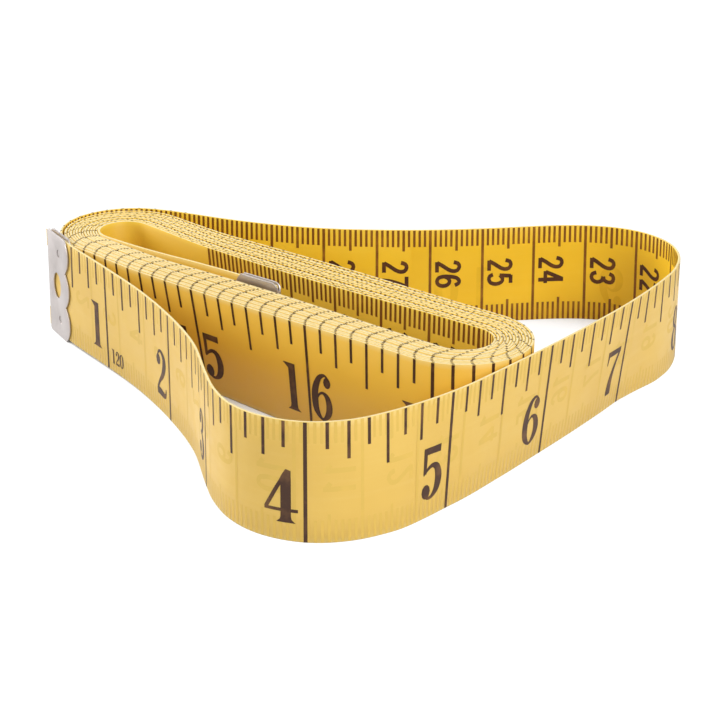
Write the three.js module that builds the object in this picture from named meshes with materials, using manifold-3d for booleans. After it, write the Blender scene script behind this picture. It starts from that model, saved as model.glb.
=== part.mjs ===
// Tailor's tape measure, loosely wound and standing on its lower edge. A strip of coated cloth runs
// from a folded steel clip round one free loop and into an oval coil, and ends inside the coil in a
// second clip. The free loop is cut where the strip bends most, because it opens there.
// Millimetres, Z up, X along the coil, origin on the ground under the middle of the whole object.
import * as THREE from 'three';
import Module from 'manifold-3d';
import { mergeVertices } from 'three/addons/utils/BufferGeometryUtils.js';

const wasm = await Module();
wasm.setup();

// Strip of coated cloth
const TAPE_WIDTH = 19.05;
const TAPE_THICKNESS = 0.45;
const ROUTE_STEP = 3;
const BEND_GAP = 0.3;

// Coil seen from above: two round ends and two long sides
const COIL_CENTRE_X = -0.31;
const COIL_CENTRE_Y = -10.66;
const COIL_HALF_SPAN = 38.16;
const COIL_END_RADIUS = 12.4;
const COIL_TURNS = 13;
const TURN_PITCH = 0.56;
// Wound strip: drawn thin, so that each turn stands clear of the next at the true pitch
const WOUND_THICKNESS = 0.13;
// How far the long sides swell out at their middle, on the outermost and the innermost turn
const OUTER_SIDE_BOW = 0.7;
const INNER_SIDE_BOW = -0.9;
// The left end lies further back than the right one
const LEFT_END_RISE = 1.8;
const RISE_FROM = 20;
const RISE_TO = 45;
// The outermost turn leaves the coil at the back of its left end, standing off from it
const EXIT_ANGLE = 20;
const EXIT_LIFT = 1.7;
const LIFT_STEPS = 12;
// The outer end of the strip stands off from the left end at its tip, under its clip and past it
const END_STAND_OFF = 2.54;
const CLIP_STAND_OFF = 1.1;
const RUN_STAND_OFF = 1.08;
// The innermost turn ends at the front in a tail that leaves the wall and then runs straight. Both of
// its lengths are counted back from its end.
const TAIL_REACH = 2.2;
const TAIL_LENGTH = 42;
const STRAIGHT_TAIL = 20;
const TAIL_STAND_OFF = 1;
const END_STEPS = 12;
const SIDE_STEPS = 8;

// Clip: sheet steel folded over the end of the strip
const CLIP_LENGTH = 9.5;
const CLIP_SHEET = 0.25;
// The clip stands out past both edges of the strip, so it lifts this length of strip off the ground
const CLIP_OVERHANG = 0.45;
const LIFTED_LENGTH = 50;
const CLIP_CLEARANCE = 0.1;
const CLIP_CORNER = 1.5;
const CLIP_LOBES = 3;
const LOBE_DEPTH = 1.65;
const HOLE_LENGTH = 3.5;
const HOLE_HEIGHT = 4.9;
const HOLE_FROM_FOLD = 4;
const DIMPLE_DIAMETER = 1.5;
const DIMPLE_DEPTH = 0.12;
const DIMPLE_FROM_FOLD = 5.1;
const DIMPLE_FROM_EDGE = 3.5;

// Places along the free loop where it opens, as lengths of strip from the outer end
const FRONT_BEND = 94.5;
const FAR_BEND = 211.5;

const DIMPLE_FACETS = 12;
const CURVE_FACETS = 5;
const CUT_MARGIN = 1;

const LOOP_STEPS = 2 * (END_STEPS + SIDE_STEPS);
const COIL_HALF_LENGTH = COIL_HALF_SPAN + COIL_END_RADIUS;
const COIL_HALF_WIDTH = COIL_END_RADIUS + OUTER_SIDE_BOW;
const CLIP_HEIGHT = TAPE_WIDTH + 2 * CLIP_OVERHANG;

// Height of the strip's lower edge, by the length of strip from its nearer end
const lowerEdge = (fromEnd) => {
  return CLIP_OVERHANG * (1 - THREE.MathUtils.smoothstep(fromEnd, CLIP_LENGTH, LIFTED_LENGTH));
};

// One point of the coil's spiral, in the coil's own frame. Each loop starts at the back of the left
// end and runs left end, front side, right end, back side.
function coilPoint(step) {
  const firstStep = END_STEPS * EXIT_ANGLE / 180;
  const turn = (step - firstStep) / LOOP_STEPS;
  const lift = EXIT_LIFT * Math.max(0, 1 - (step - firstStep) / LIFT_STEPS) ** 2;
  const radius = COIL_END_RADIUS - TURN_PITCH * turn + lift;
  const bow = THREE.MathUtils.lerp(OUTER_SIDE_BOW, INNER_SIDE_BOW, turn / COIL_TURNS);
  const sideOffset = (x) => radius + bow * Math.cos(Math.PI * x / (2 * COIL_HALF_SPAN)) ** 2;
  const point = new THREE.Vector3();
  let place = step % LOOP_STEPS;
  if (place < END_STEPS) {
    const angle = Math.PI / 2 + Math.PI * place / END_STEPS;
    point.set(-COIL_HALF_SPAN + radius * Math.cos(angle), radius * Math.sin(angle), 0);
  } else if ((place -= END_STEPS) < SIDE_STEPS) {
    const x = COIL_HALF_SPAN * (2 * place / SIDE_STEPS - 1);
    point.set(x, -sideOffset(x), 0);
  } else if ((place -= SIDE_STEPS) < END_STEPS) {
    const angle = -Math.PI / 2 + Math.PI * place / END_STEPS;
    point.set(COIL_HALF_SPAN + radius * Math.cos(angle), radius * Math.sin(angle), 0);
  } else {
    const x = COIL_HALF_SPAN * (1 - 2 * (place - END_STEPS) / SIDE_STEPS);
    point.set(x, sideOffset(x), 0);
  }
  point.y += LEFT_END_RISE * THREE.MathUtils.smoothstep(-point.x, RISE_FROM, RISE_TO);
  return point;
}

// The whole spiral, from where the free loop joins it to the inner end of the strip
function coilPoints() {
  const firstStep = END_STEPS * EXIT_ANGLE / 180;
  const tailShare = (TAIL_REACH + COIL_HALF_SPAN) / (2 * COIL_HALF_SPAN);
  const lastStep = COIL_TURNS * LOOP_STEPS + END_STEPS + SIDE_STEPS * tailShare;
  const points = [];
  for (let step = firstStep; step < lastStep; step = Math.floor(step) + 1) points.push(coilPoint(step));
  points.push(coilPoint(lastStep));
  let toEnd = 0;
  for (let i = points.length - 1; i > 0; i -= 1) {
    const reach = points[i].distanceTo(points[i - 1]);
    points[i].y += TAIL_STAND_OFF * (1 - THREE.MathUtils.smoothstep(toEnd, STRAIGHT_TAIL, TAIL_LENGTH));
    points[i].z = lowerEdge(toEnd);
    toEnd += reach;
  }
  return points;
}

// Hand-chosen points of the free loop, each group measured from the end, edge or corner of the coil
// that it lies beside, from the outer end of the strip to where it joins the coil.
const beside = (x, y, offsets) => offsets.map(([dx, dy]) => new THREE.Vector3(x + dx, y + dy, 0));
// Points round the coil's left end, each by its angle and by how far it stands off from the end
const roundLeftEnd = (places) => places.map(([degrees, standOff]) => {
  const angle = THREE.MathUtils.degToRad(degrees);
  const reach = COIL_END_RADIUS + standOff;
  const across = reach * Math.cos(angle) - COIL_HALF_SPAN;
  return new THREE.Vector3(across, reach * Math.sin(angle) + LEFT_END_RISE, 0);
});
const FREE_ROUTE = [
  ...roundLeftEnd([[221.7, END_STAND_OFF], [238, CLIP_STAND_OFF], [260.4, RUN_STAND_OFF]]),
  ...beside(-COIL_HALF_LENGTH, -COIL_HALF_WIDTH, [[23.8, -2.4]]),
  ...beside(0, -COIL_HALF_WIDTH, [[-14.7, -6.1], [-3.4, -10.7], [8, -16.8], [17.9, -24.3]]),
  ...beside(COIL_HALF_LENGTH, -COIL_HALF_WIDTH, [
    [-27.5, -27.9], [-21.8, -30.4], [-15.5, -30.6], [-9.5, -28.2], [-5.1, -23.6], [-2.4, -17.5],
    [0.3, -5.1]]),
  ...beside(COIL_HALF_LENGTH, 0, [[1, -5.7], [1.2, 6.8], [1.1, 19.6], [0.6, 32.1]]),
  ...beside(COIL_HALF_LENGTH, COIL_HALF_WIDTH, [
    [-0.8, 31.9], [-2.1, 38.3], [-5, 44.8], [-9.4, 49.6], [-14, 51.7], [-18.6, 52.1], [-23.1, 50.9],
    [-27.3, 48.5], [-31, 45.3], [-34.4, 41.6]]),
  ...beside(0, COIL_HALF_WIDTH, [[9.6, 33.9], [2.7, 26.7], [-4.8, 20.1], [-12.8, 14.2]]),
  ...beside(-COIL_HALF_LENGTH, COIL_HALF_WIDTH, [[28.9, 9.5], [19.8, 6], [13.4, 4.1]]),
];

// Closed strip standing on its edge along a row of points of its lower edge
function ribbon(points, thickness) {
  const positions = [];
  const index = [];
  points.forEach((point, i) => {
    const before = points[Math.max(i - 1, 0)];
    const after = points[Math.min(i + 1, points.length - 1)];
    const along = after.clone().sub(before).setZ(0).normalize();
    const left = new THREE.Vector3(-along.y, along.x, 0).multiplyScalar(thickness / 2);
    for (const [side, height] of [[1, 0], [-1, 0], [-1, TAPE_WIDTH], [1, TAPE_WIDTH]]) {
      positions.push(point.x + side * left.x, point.y + side * left.y, point.z + height);
    }
    if (i === 0) return;
    for (let corner = 0; corner < 4; corner += 1) {
      const a = 4 * (i - 1) + corner;
      const b = 4 * (i - 1) + (corner + 1) % 4;
      index.push(a, b + 4, b, a, a + 4, b + 4);
    }
  });
  const last = positions.length / 3 - 4;
  index.push(0, 1, 2, 0, 2, 3, last, last + 2, last + 1, last, last + 3, last + 2);
  const geometry = new THREE.BufferGeometry();
  geometry.setAttribute('position', new THREE.Float32BufferAttribute(positions, 3));
  geometry.setIndex(index);
  geometry.computeVertexNormals();
  return geometry;
}

function toSolid(geometry) {
  geometry.deleteAttribute('normal');
  geometry.deleteAttribute('uv');
  const merged = mergeVertices(geometry);
  const vertProperties = new Float32Array(merged.attributes.position.array);
  const triVerts = new Uint32Array(merged.index.array);
  return new wasm.Manifold(new wasm.Mesh({ numProp: 3, vertProperties, triVerts }));
}

function toGeometry(solid) {
  const { vertProperties, triVerts } = solid.getMesh();
  const geometry = new THREE.BufferGeometry();
  geometry.setAttribute('position', new THREE.Float32BufferAttribute(vertProperties, 3));
  geometry.setIndex(Array.from(triVerts));
  geometry.computeVertexNormals();
  return geometry;
}

// Clip with its fold at the origin and its two leaves along X, one on each side of the strip
function clipGeometry() {
  const inner = TAPE_THICKNESS / 2 + CLIP_CLEARANCE;
  const outer = inner + CLIP_SHEET;
  const reach = CLIP_LENGTH + CUT_MARGIN;
  const fold = new THREE.Shape();
  fold.moveTo(reach, outer);
  fold.lineTo(0, outer);
  fold.absarc(0, 0, outer, Math.PI / 2, 3 * Math.PI / 2, false);
  fold.lineTo(reach, -outer);
  fold.lineTo(reach, -inner);
  fold.lineTo(0, -inner);
  fold.absarc(0, 0, inner, 3 * Math.PI / 2, Math.PI / 2, true);
  fold.lineTo(reach, inner);
  const plainCut = { bevelEnabled: false, curveSegments: CURVE_FACETS };
  const leaves = new THREE.ExtrudeGeometry(fold, { depth: CLIP_HEIGHT, ...plainCut });

  // Outline of a leaf, X along the strip and Y up: round corners at the fold, lobes at the far edge
  const back = -outer;
  const outline = new THREE.Shape();
  outline.moveTo(back + CLIP_CORNER, 0);
  outline.lineTo(CLIP_LENGTH - LOBE_DEPTH, 0);
  for (let lobe = 0; lobe < CLIP_LOBES; lobe += 1) {
    const low = CLIP_HEIGHT * lobe / CLIP_LOBES;
    const high = CLIP_HEIGHT * (lobe + 1) / CLIP_LOBES;
    outline.quadraticCurveTo(CLIP_LENGTH + LOBE_DEPTH, (low + high) / 2, CLIP_LENGTH - LOBE_DEPTH, high);
  }
  outline.lineTo(back + CLIP_CORNER, CLIP_HEIGHT);
  outline.absarc(back + CLIP_CORNER, CLIP_HEIGHT - CLIP_CORNER, CLIP_CORNER, Math.PI / 2, Math.PI, false);
  outline.lineTo(back, CLIP_CORNER);
  outline.absarc(back + CLIP_CORNER, CLIP_CORNER, CLIP_CORNER, Math.PI, 3 * Math.PI / 2, false);
  const hole = new THREE.Path();
  const holeMiddle = CLIP_HEIGHT / 2;
  hole.absellipse(HOLE_FROM_FOLD, holeMiddle, HOLE_LENGTH / 2, HOLE_HEIGHT / 2, 0, 2 * Math.PI, false, 0);
  outline.holes.push(hole);
  const across = 2 * (outer + CUT_MARGIN);
  const stamped = new THREE.ExtrudeGeometry(outline, { depth: across, ...plainCut });
  stamped.rotateX(Math.PI / 2);
  stamped.translate(0, across / 2, 0);

  let clip = toSolid(leaves).intersect(toSolid(stamped));
  const dimpleRadius = (DIMPLE_DIAMETER ** 2 / 4 + DIMPLE_DEPTH ** 2) / (2 * DIMPLE_DEPTH);
  for (const side of [1, -1]) {
    for (const height of [DIMPLE_FROM_EDGE, CLIP_HEIGHT - DIMPLE_FROM_EDGE]) {
      const dimple = new THREE.SphereGeometry(dimpleRadius, DIMPLE_FACETS, 2 * DIMPLE_FACETS);
      dimple.translate(DIMPLE_FROM_FOLD, side * (outer - DIMPLE_DEPTH + dimpleRadius), height);
      clip = clip.subtract(toSolid(dimple));
    }
  }
  return toGeometry(clip.translate([0, 0, -CLIP_OVERHANG]));
}

const coated = { color: 0xe9bb3f, roughness: 0.45, metalness: 0 };
const steel = { color: 0xc4c4c6, roughness: 0.4, metalness: 0.9 };
const tapeMeasure = new THREE.Group();
tapeMeasure.position.set(COIL_CENTRE_X, COIL_CENTRE_Y, 0);

function addPiece(name, geometry, finish) {
  const piece = new THREE.Mesh(geometry, new THREE.MeshStandardMaterial(finish));
  piece.name = name;
  tapeMeasure.add(piece);
  return piece;
}

// Coil, with the least gap between its turns measured from each point to the other turns
const coil = coilPoints();
addPiece('tape_coil', ribbon(coil, WOUND_THICKNESS), coated);

let leastGap = Infinity;
let woundLength = 0;
const nearest = new THREE.Vector3();
for (let i = 0; i + 1 < coil.length; i += 1) {
  const part = new THREE.Line3(coil[i], coil[i + 1]);
  woundLength += part.distance();
  for (let j = i + LOOP_STEPS / 2; j < coil.length; j += 1) {
    part.closestPointToPoint(coil[j], true, nearest);
    leastGap = Math.min(leastGap, nearest.distanceTo(coil[j]) - WOUND_THICKNESS);
  }
}

// Free loop, cut at its two bends and where it joins the coil
const route = new THREE.CatmullRomCurve3([...FREE_ROUTE, coil[0]], false, 'centripetal');
route.arcLengthDivisions = 2000;
const freeLength = route.getLength();

function stretch(from, to) {
  const steps = Math.ceil((to - from) / ROUTE_STEP);
  const points = [];
  for (let i = 0; i <= steps; i += 1) {
    const along = THREE.MathUtils.lerp(from, to, i / steps);
    points.push(route.getPointAt(along / freeLength).setZ(lowerEdge(along)));
  }
  return points;
}

const endRun = stretch(0, FRONT_BEND - BEND_GAP / 2);
const frontRun = stretch(FRONT_BEND + BEND_GAP / 2, FAR_BEND - BEND_GAP / 2);
const backRun = stretch(FAR_BEND + BEND_GAP / 2, freeLength - BEND_GAP);
addPiece('tape_end_run', ribbon(endRun, TAPE_THICKNESS), coated);
addPiece('tape_front_run', ribbon(frontRun, TAPE_THICKNESS), coated);
addPiece('tape_back_run', ribbon(backRun, TAPE_THICKNESS), coated);

// Clips, each with its leaves along the strip's end
function seatClip(name, end, inwards) {
  const clip = addPiece(name, clipGeometry(), steel);
  clip.position.copy(end);
  clip.rotation.z = Math.atan2(inwards.y, inwards.x);
}
seatClip('outer_end_clip', endRun[0], route.getTangentAt(CLIP_LENGTH / 2 / freeLength));
const innerEnd = coil[coil.length - 1];
seatClip('inner_end_clip', innerEnd, coil[coil.length - 2].clone().sub(innerEnd));

// Hinge lines of the bends, on the strip's outer face
function hingeLine(along) {
  const tangent = route.getTangentAt(along / freeLength);
  const outward = new THREE.Vector3(tangent.y, -tangent.x, 0);
  const line = route.getPointAt(along / freeLength).addScaledVector(outward, TAPE_THICKNESS / 2);
  return line.add(tapeMeasure.position).toArray().slice(0, 2).map((value) => value.toFixed(3)).join(', ');
}
console.log(`least gap between the coil's turns: ${leastGap.toFixed(3)} mm`);
console.log(`strip: free ${freeLength.toFixed(1)} mm, wound ${woundLength.toFixed(1)} mm`);
console.log(`front bend at ${hingeLine(FRONT_BEND)}`);
console.log(`far bend at ${hingeLine(FAR_BEND)}`);
console.log(`coil exit at ${hingeLine(freeLength - BEND_GAP / 2)}`);

export default tapeMeasure;
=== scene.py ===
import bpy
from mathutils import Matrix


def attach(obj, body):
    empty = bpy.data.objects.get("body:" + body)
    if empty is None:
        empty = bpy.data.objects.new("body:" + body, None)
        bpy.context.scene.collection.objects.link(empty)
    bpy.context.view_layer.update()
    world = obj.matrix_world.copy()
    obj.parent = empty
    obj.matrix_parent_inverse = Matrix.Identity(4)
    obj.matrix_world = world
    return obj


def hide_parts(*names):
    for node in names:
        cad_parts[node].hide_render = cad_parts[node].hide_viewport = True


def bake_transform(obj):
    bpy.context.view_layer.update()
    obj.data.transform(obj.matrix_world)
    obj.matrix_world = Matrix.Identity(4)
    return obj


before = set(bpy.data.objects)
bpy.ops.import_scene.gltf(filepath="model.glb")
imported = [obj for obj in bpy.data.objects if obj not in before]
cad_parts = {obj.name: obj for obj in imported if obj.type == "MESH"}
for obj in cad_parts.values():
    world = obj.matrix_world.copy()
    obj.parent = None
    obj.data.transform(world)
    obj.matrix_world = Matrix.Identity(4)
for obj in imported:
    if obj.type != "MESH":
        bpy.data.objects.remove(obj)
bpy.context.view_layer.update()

import math

import bmesh
import bpy
import numpy as np
from mathutils import Matrix, Vector

# The strip is one length of cotton cloth, coated on both faces with yellow vinyl and slit to 19 mm.
# It stands on its lower edge, runs from its outer end round a free loop, and winds inwards in an oval
# coil of thirteen turns. It is laid out flat first, and then bent along this course.
WIDTH = 0.01905
THICKNESS = 0.00044
MM = 0.001
FREE_ROUTE = MM * np.array([
    (-49.63, -18.80), (-45.62, -20.31), (-40.72, -22.15), (-27.07, -26.16), (-15.01, -29.86),
    (-3.71, -34.46), (7.69, -40.56), (17.59, -48.06), (22.75, -51.66), (28.45, -54.16),
    (34.75, -54.36), (40.75, -51.96), (45.15, -47.36), (47.85, -41.26), (50.55, -28.86),
    (51.25, -16.36), (51.45, -3.86), (51.35, 8.94), (50.85, 21.44), (49.45, 34.34),
    (48.15, 40.74), (45.25, 47.24), (40.85, 52.04), (36.25, 54.14), (31.65, 54.54),
    (27.15, 53.34), (22.95, 50.94), (19.25, 47.74), (15.85, 44.04), (9.29, 36.34),
    (2.39, 29.14), (-5.11, 22.54), (-13.11, 16.64), (-21.97, 11.94), (-31.07, 8.44),
    (-37.47, 6.54)])
COIL_CENTRE = MM * np.array((-0.43, -10.66))
COIL_HALF_SPAN = 38.47 * MM
SPAN_GROWTH = 0.064 * MM
COIL_END_RADIUS = 12.4 * MM
COIL_TURNS = 13
TURN_PITCH = 0.56 * MM
OUTER_SIDE_BOW = 0.7 * MM
INNER_SIDE_BOW = -0.9 * MM
LEFT_END_RISE = 1.8 * MM
RISE_FROM, RISE_TO = 20 * MM, 45 * MM
EXIT_DEGREES = 20
EXIT_LIFT = 1.7 * MM
LIFT_STEPS, LIFT_SHAPE = 9.4, 1.5
TAIL_REACH, TAIL_LENGTH, STRAIGHT_TAIL, TAIL_STAND_OFF = 2.2 * MM, 42 * MM, 20 * MM, 1 * MM
END_STEPS, SIDE_STEPS, FINE_STEPS = 12, 8, 24
LOOP_STEPS = 2 * (END_STEPS + SIDE_STEPS)
FIRST_STEP = END_STEPS * EXIT_DEGREES / 180
LAST_STEP = (COIL_TURNS * LOOP_STEPS + END_STEPS
             + SIDE_STEPS * (TAIL_REACH + COIL_HALF_SPAN) / (2 * COIL_HALF_SPAN))


def smooth_share(value, low, high):
    share = np.clip((value - low) / (high - low), 0, 1)
    return share * share * (3 - 2 * share)


def coil_point(step):
    since_exit = step - FIRST_STEP
    turn = since_exit / LOOP_STEPS
    radius = (COIL_END_RADIUS - TURN_PITCH * turn
              + EXIT_LIFT * (1 - smooth_share(since_exit, 0, LIFT_STEPS) ** LIFT_SHAPE))
    half_span = COIL_HALF_SPAN + SPAN_GROWTH * turn
    bow = OUTER_SIDE_BOW + (INNER_SIDE_BOW - OUTER_SIDE_BOW) * turn / COIL_TURNS
    place = step % LOOP_STEPS
    far_half = place >= END_STEPS + SIDE_STEPS
    place -= far_half * (END_STEPS + SIDE_STEPS)
    side = 1 if far_half else -1
    if place < END_STEPS:
        angle = math.pi * (place / END_STEPS - 0.5 * side)
        x = side * half_span + radius * math.cos(angle)
        y = radius * math.sin(angle)
    else:
        x = -side * half_span * (2 * (place - END_STEPS) / SIDE_STEPS - 1)
        y = side * (radius + bow * math.cos(math.pi * x / (2 * half_span)) ** 2)
    return x, y + LEFT_END_RISE * smooth_share(-x, RISE_FROM, RISE_TO)


def lengths_along(points):
    return np.concatenate(([0], np.cumsum(np.linalg.norm(np.diff(points, axis=0), axis=1))))


def curve_through(points):
    curve = []
    share = np.linspace(0, 1, 2 * FINE_STEPS, endpoint=False)[:, None]
    for before, start, end, after in zip(points, points[1:], points[2:], points[3:]):
        a, b, c = (math.sqrt(math.dist(*pair))
                   for pair in ((before, start), (start, end), (end, after)))
        leave = b * ((start - before) / a - (end - before) / (a + b) + (end - start) / b)
        arrive = b * ((end - start) / b - (after - start) / (b + c) + (after - end) / c)
        curve.append(start * (1 + 2 * share) * (1 - share) ** 2 + leave * share * (1 - share) ** 2
                     + end * share ** 2 * (3 - 2 * share) + arrive * share ** 2 * (share - 1))
    return np.concatenate(curve)


coil_steps = np.append(np.arange(FIRST_STEP, LAST_STEP, 1 / FINE_STEPS), LAST_STEP)
coil = np.array([coil_point(step) for step in coil_steps])
to_end = lengths_along(coil)[-1] - lengths_along(coil)
coil[:, 1] += TAIL_STAND_OFF * (1 - smooth_share(to_end, STRAIGHT_TAIL, TAIL_LENGTH))
coil += COIL_CENTRE
before_first = 2 * FREE_ROUTE[0] - FREE_ROUTE[1]
free = curve_through(np.concatenate(([before_first], FREE_ROUTE, coil[[0, 2 * FINE_STEPS]])))
course = np.concatenate((free, coil))
turns = np.concatenate((np.zeros(len(free)), (coil_steps - FIRST_STEP) / LOOP_STEPS))
stations = lengths_along(course)
LENGTH = stations[-1]

# Under each clip the strip lies straight.
CLIP_REACH = 10.2 * MM
for first, last in ((0, CLIP_REACH), (LENGTH - CLIP_REACH, LENGTH)):
    inside = (stations >= first) & (stations <= last)
    for axis in range(2):
        ends = np.interp((first, last), stations, course[:, axis])
        course[inside, axis] = np.interp(stations[inside], (first, last), ends)

SPACING = 0.25 * MM
SPARE = 4 * MM
STATION = np.arange(-SPARE, LENGTH + SPARE, SPACING)
COURSE = np.stack([np.interp(STATION, stations, course[:, axis]) for axis in range(2)], axis=1)
heading = np.gradient(np.stack([np.interp(np.clip(STATION, 0, LENGTH), stations, course[:, axis])
                                for axis in range(2)], axis=1), axis=0)
inner_part = (STATION > 2 * SPACING) & (STATION < LENGTH - 2 * SPACING)
for axis in range(2):
    heading[:, axis] = np.interp(STATION, STATION[inner_part], heading[inner_part, axis])
heading /= np.linalg.norm(heading, axis=1)[:, None]
for outside, end in ((STATION < 0, 0), (STATION > LENGTH, LENGTH)):
    beyond = STATION[outside] - end
    COURSE[outside] += beyond[:, None] * heading[outside]
HEADING_WINDOW = np.ones(5) / 5


def eased(values, window):
    return np.convolve(np.pad(values, len(window) // 2, "edge"), window, "valid")


INWARD = np.stack((-eased(heading[:, 1], HEADING_WINDOW), eased(heading[:, 0], HEADING_WINDOW)),
                  axis=1)

# The free loop leans: how far its lower edge stands outside its upper one, by length on the scales.
# Their zero lies a little outside of the strip's end.
SCALE_START = -2.07 * MM
LEAN_AT = MM * np.array((0, 10, 30, 60, 88, 104, 116, 126, 150,
                         178, 184, 190, 197, 204, 215, 232, 312))
LEAN_BY = MM * np.array((0.1, 0.3, -0.2, 0, 0.1, 1.2, 1.5, 0.2, -0.9,
                         -1.8, -1.1, 0.1, 0.4, 0.5, 0.3, 0.2, 0))
LEAN_WINDOW = np.hanning(25) / np.hanning(25).sum()
on_scale = STATION - SCALE_START
LEAN = eased(np.interp(on_scale, LEAN_AT, LEAN_BY), LEAN_WINDOW)

# It rakes too: how far along the strip the foot of a cross line lies from its top.
RAKE_AT = MM * np.array((12, 25, 52, 76, 101, 127, 152, 178, 205, 232, 262, 300,
                         345, 375, 406, 419, 432, 480))
RAKE_BY = MM * np.array((0, 0.3, 0.25, 0.7, 0.3, -1.2, -0.9, -0.2, -0.6, -0.7, -0.4, 0,
                         0, 1.5, 1.4, 0.6, 0.3, 0))
RAKE = eased(np.interp(on_scale, RAKE_AT, RAKE_BY), LEAN_WINDOW)

# The clips stand out past the strip's edges and lift its ends, and wound turns never sit quite level,
# so each stands a little higher or lower than the next. A wave is its share, count per turn and start.
CLIP_LENGTH = 9.5 * MM
CLIP_OVERHANG = 0.45 * MM
LIFTED_LENGTH = 50 * MM
TURN_LIFT = 0.11 * MM
LIFT_FROM_TURN, LIFT_BY_TURN = 0.1, 0.6
TURN_WAVES = ((0.6, 0.382, 0), (0.4, 0.77, 1))
turn_at = np.interp(STATION, stations, turns)
from_end = np.minimum(STATION, LENGTH - STATION)
uneven = 1 + sum(share * np.sin(2 * math.pi * per_turn * turn_at + start)
                 for share, per_turn, start in TURN_WAVES)
LEVEL = (CLIP_OVERHANG * (1 - smooth_share(from_end, CLIP_LENGTH, LIFTED_LENGTH))
         + TURN_LIFT * smooth_share(turn_at, LIFT_FROM_TURN, LIFT_BY_TURN) * uneven)

# The outer turn lies looser round the coil's left end than this course does, and takes up more
# strip there.
SLACK = 1.0 * MM
SLACK_FROM, SLACK_TO = 314 * MM, 352 * MM

# The coil's sides lean back together: their lower edges lie further back, most of all left of the
# middle.
COIL_LEAN = 2.4 * MM
LEAN_LEFT, LEAN_RIGHT = (-44 * MM, -16 * MM), (-12 * MM, 30 * MM)


def bend(mesh):
    flat = np.empty(3 * len(mesh.vertices))
    mesh.vertices.foreach_get("co", flat)
    along, inward, height = flat.reshape(-1, 3).T
    depth = 1 - height / WIDTH
    raked = (along + depth * np.interp(along, STATION, RAKE)
             - SLACK * smooth_share(along, SLACK_FROM, SLACK_TO))

    def at(values):
        return np.interp(raked, STATION, values)

    shift = inward - at(LEAN) * depth
    x = at(COURSE[:, 0]) + shift * at(INWARD[:, 0])
    y = at(COURSE[:, 1]) + shift * at(INWARD[:, 1])
    coil_lean = COIL_LEAN * smooth_share(x, *LEAN_LEFT) * (1 - smooth_share(x, *LEAN_RIGHT))
    y += np.where(raked > SLACK_FROM, depth * coil_lean, 0)
    bent = np.stack((x, y, height + at(LEVEL)), axis=1)
    mesh.vertices.foreach_set("co", bent.ravel())
    mesh.update()


# The flat strip, cut into three lengths. The vinyl is a warm yellow with faint clouding, a trace of the
# weave under it and scuffed borders. On the coil it is painted deeper: more orange on the outer face
# for light bounced between the turns, and darker on the inner face for shade inside the coil.
# The slit edges show pale cloth.
FRONT_CUT = 152.5 * MM
BACK_CUT = 261.5 * MM
FRONT_BEND_AT, FAR_BEND_AT = 94.5 * MM, 211.5 * MM
FLAT_STEP = 0.5 * MM
EDGE_ROUNDING = 0.06 * MM
OUTER_VINYL = (0.735, 0.485, 0.106)
OUTER_CLOUD = (0.70, 0.45, 0.092)
OUTER_SCUFF = (0.80, 0.60, 0.20)
# Painted bounce light: on the coil the outer face turns a deeper orange.
OUTER_PAINTED_BOUNCE = (0.83, 0.505, 0.05)
OUTER_SHINE, OUTER_COAT = 0.35, 0.12
INNER_VINYL = (0.87, 0.55, 0.028)
INNER_CLOUD = (0.83, 0.505, 0.022)
INNER_SCUFF = (0.88, 0.60, 0.06)
# Painted shade: on the coil the inner face turns darker.
INNER_PAINTED_SHADE = (0.75, 0.455, 0.040)
INNER_SHINE, INNER_COAT = 0.3, 0
COIL_PAINT_FROM, COIL_PAINT_FULL, COIL_PAINT_SHARE = 312 * MM, 345 * MM, 0.85
VINYL_COAT_ROUGHNESS = 0.38
WORN_BORDER, WORN_SHARE = 0.05, 0.7
THREAD_SCALE, THREAD_WANDER = 15, 0.6
WEAVE_STRENGTH, WEAVE_DEPTH = 0.12, 0.02 * MM
SLIT_CLOTH = (0.82, 0.69, 0.39)
SLIT_FIBRE = (0.71, 0.57, 0.28)
SLIT_RIM = (0.80, 0.645, 0.26)
SLIT_ROUGHNESS = 0.75
RIM_FROM, RIM_TO = 0.0045, 0.0075
OUTER_FACE, INNER_FACE, SLIT_FACE = range(3)
FACE_KINDS = 3
LANE_SPACING = 1.05
EDGE_SHARE = 0.0001


def lay_out_maps(bm, first, last, shades=()):
    pattern = bm.loops.layers.uv.new("strip")
    sheet_map = bm.loops.layers.uv.new("OFBake")
    band = LANE_SPACING * WIDTH
    lanes = FACE_KINDS + len(shades)
    rows = max(1, round(math.sqrt((last - first) / (lanes * band))))
    row_length = (last - first) / rows
    for face in bm.faces:
        middle = face.calc_center_median()
        row = min(rows - 1, max(0, int((middle.x - first) / row_length)))
        on_edge = not EDGE_SHARE * WIDTH < middle.z < (1 - EDGE_SHARE) * WIDTH
        lane = SLIT_FACE if on_edge else INNER_FACE if middle.y > 0 else OUTER_FACE
        if face.material_index in shades:
            lane = FACE_KINDS + shades.index(face.material_index)
        for loop in face.loops:
            x, y, z = loop.vert.co
            across = y + (WIDTH / 2 if middle.z > WIDTH / 2 else WIDTH / 4) if on_edge else z
            loop[pattern].uv = (x / WIDTH, across / WIDTH)
            loop[sheet_map].uv = ((x - first - row * row_length) / row_length,
                                  ((lanes * row + lane) * band + across) / (lanes * rows * band))


def new_piece(name, bm, materials, sharp_angle=50):
    mesh = bpy.data.meshes.new(name)
    bm.to_mesh(mesh)
    bm.free()
    bend(mesh)
    for material in materials:
        mesh.materials.append(material)
    mesh.shade_smooth()
    mesh.set_sharp_from_angle(angle=math.radians(sharp_angle))
    piece = bpy.data.objects.new(name, mesh)
    bpy.context.collection.objects.link(piece)
    return piece


def new_material(name):
    material = bpy.data.materials.new(name)
    material.use_nodes = True
    return material, material.node_tree.nodes, material.node_tree.links


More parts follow.
